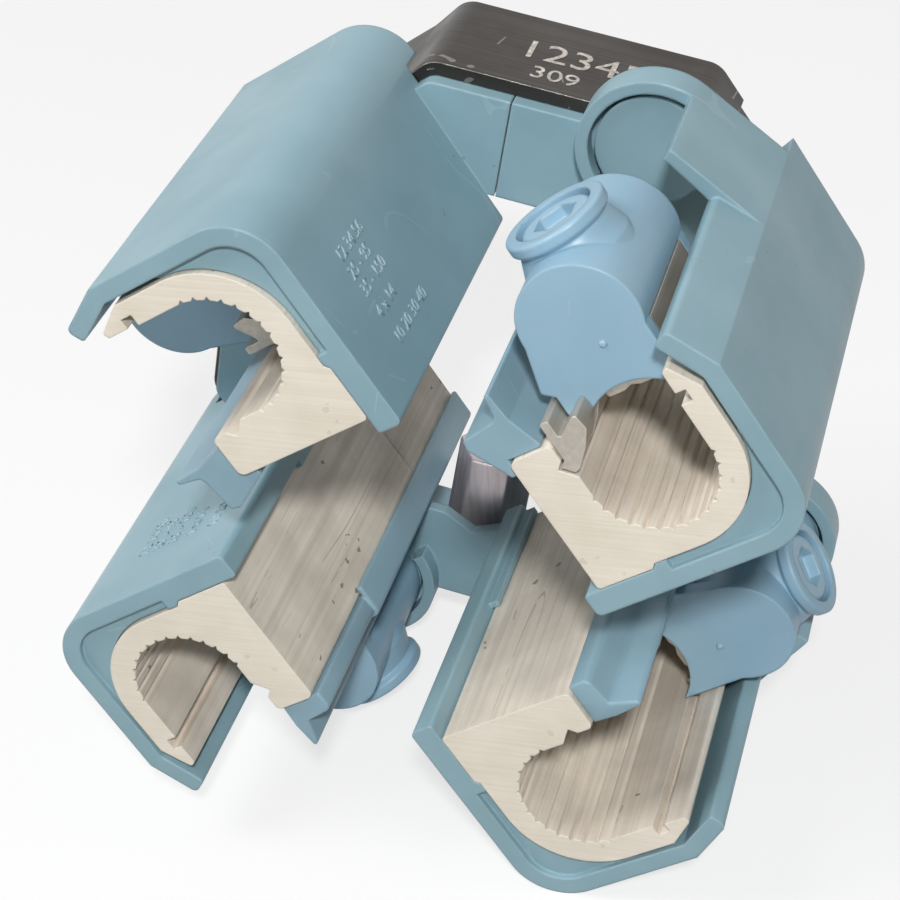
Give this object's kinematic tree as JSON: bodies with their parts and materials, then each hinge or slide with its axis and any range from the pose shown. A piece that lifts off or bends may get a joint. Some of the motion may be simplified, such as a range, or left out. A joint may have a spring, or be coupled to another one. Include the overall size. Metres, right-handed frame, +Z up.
{
  "type": "four-way cable tap connector",
  "caption": "Cable tap connector: clamp units with serrated core chambers and sliding screw carriers round a cable passage, held by an octagonal steel band.",
  "frame": {"origin": "on the axis of the cable passage, level with the front faces of the four jaws", "axes": "+Y along the cable passage from the open front to the banded back, +Z up as the connector lies on two of its shells, +X to the right seen from the front"},
  "size_m": [0.0942, 0.0692, 0.0942],
  "materials": {
    "tinned_jaw": "tin-plated extrusion, fine lengthwise lines and small dark specks",
    "blue_shell": "moulded blue-grey plastic",
    "blue_strip": "moulded blue-grey plastic",
    "blue_carrier": "moulded blue-grey plastic",
    "yoke_metal": "dull metal",
    "screw_steel": "zinc-plated steel",
    "pad_metal": "tin-plated metal",
    "light_cap": "pale blue plastic",
    "band_steel": "dark stainless strip",
    "bolt_zinc": "plated steel"
  },
  "bodies": {
    "clamp_body": {"jaw_top_left": "tinned_jaw", "shell_top_left": "blue_shell", "edge_strip_top_left": "blue_strip", "jaw_bottom_left": "tinned_jaw", "shell_bottom_left": "blue_shell", "edge_strip_bottom_left": "blue_strip", "jaw_bottom_right": "tinned_jaw", "shell_bottom_right": "blue_shell", "edge_strip_bottom_right": "blue_strip", "jaw_top_right": "tinned_jaw", "shell_top_right": "blue_shell", "edge_strip_top_right": "blue_strip", "steel_band": "band_steel", "closing_bolt": "bolt_zinc", "closing_nut": "bolt_zinc"},
    "carrier_top_left": {"carrier_top_left": "blue_carrier", "yoke_top_left": "yoke_metal"},
    "pad_top_left": {"pressure_pad_top_left": "pad_metal"},
    "screw_top_left": {"clamp_screw_top_left": "screw_steel", "screw_cap_top_left": "light_cap"},
    "carrier_bottom_left": {"carrier_bottom_left": "blue_carrier", "yoke_bottom_left": "yoke_metal"},
    "pad_bottom_left": {"pressure_pad_bottom_left": "pad_metal"},
    "screw_bottom_left": {"clamp_screw_bottom_left": "screw_steel", "screw_cap_bottom_left": "light_cap"},
    "carrier_bottom_right": {"carrier_bottom_right": "blue_carrier", "yoke_bottom_right": "yoke_metal"},
    "pad_bottom_right": {"pressure_pad_bottom_right": "pad_metal"},
    "screw_bottom_right": {"clamp_screw_bottom_right": "screw_steel", "screw_cap_bottom_right": "light_cap"},
    "carrier_top_right": {"carrier_top_right": "blue_carrier", "yoke_top_right": "yoke_metal"},
    "pad_top_right": {"pressure_pad_top_right": "pad_metal"},
    "screw_top_right": {"clamp_screw_top_right": "screw_steel", "screw_cap_top_right": "light_cap"}
  },
  "joints": [
    {"name": "carrier_slide_top_left", "type": "slide", "parent": "clamp_body", "child": "carrier_top_left", "axis": [0, 1, 0], "range_m": [-0.0203, 0]},
    {"name": "clamp_travel_top_left", "type": "slide", "parent": "carrier_top_left", "child": "pad_top_left", "axis": [0.8554, 0, 0.518], "range_m": [0, 0.005]},
    {"name": "screw_turn_top_left", "type": "hinge", "parent": "pad_top_left", "child": "screw_top_left", "pos_m": [-0.03578, 0.0342, 0.02124], "axis": [0.8554, 0, 0.518], "range_deg": [0, 1440]},
    {"name": "carrier_slide_bottom_left", "type": "slide", "parent": "clamp_body", "child": "carrier_bottom_left", "axis": [0, 1, 0], "range_m": [-0.0203, 0]},
    {"name": "clamp_travel_bottom_left", "type": "slide", "parent": "carrier_bottom_left", "child": "pad_bottom_left", "axis": [-0.518, 0, 0.8554], "range_m": [0, 0.005]},
    {"name": "screw_turn_bottom_left", "type": "hinge", "parent": "pad_bottom_left", "child": "screw_bottom_left", "pos_m": [-0.02124, 0.0342, -0.03578], "axis": [-0.518, 0, 0.8554], "range_deg": [0, 1440]},
    {"name": "carrier_slide_bottom_right", "type": "slide", "parent": "clamp_body", "child": "carrier_bottom_right", "axis": [0, 1, 0], "range_m": [-0.0203, 0]},
    {"name": "clamp_travel_bottom_right", "type": "slide", "parent": "carrier_bottom_right", "child": "pad_bottom_right", "axis": [-0.8554, 0, -0.518], "range_m": [0, 0.005]},
    {"name": "screw_turn_bottom_right", "type": "hinge", "parent": "pad_bottom_right", "child": "screw_bottom_right", "pos_m": [0.03578, 0.0342, -0.02124], "axis": [-0.8554, 0, -0.518], "range_deg": [0, 1440]},
    {"name": "carrier_slide_top_right", "type": "slide", "parent": "clamp_body", "child": "carrier_top_right", "axis": [0, 1, 0], "range_m": [-0.0001, 0.0202]},
    {"name": "clamp_travel_top_right", "type": "slide", "parent": "carrier_top_right", "child": "pad_top_right", "axis": [0.518, 0, -0.8554], "range_m": [0, 0.005]},
    {"name": "screw_turn_top_right", "type": "hinge", "parent": "pad_top_right", "child": "screw_top_right", "pos_m": [0.02124, 0.014, 0.03578], "axis": [0.518, 0, -0.8554], "range_deg": [0, 1440]}
  ],
  "couplings": [
    {"joint": "screw_turn_top_left", "follows": "clamp_travel_top_left", "rad_per_m": 5026.5},
    {"joint": "screw_turn_bottom_left", "follows": "clamp_travel_bottom_left", "rad_per_m": 5026.5},
    {"joint": "screw_turn_bottom_right", "follows": "clamp_travel_bottom_right", "rad_per_m": 5026.5},
    {"joint": "screw_turn_top_right", "follows": "clamp_travel_top_right", "rad_per_m": 5026.5}
  ]
}
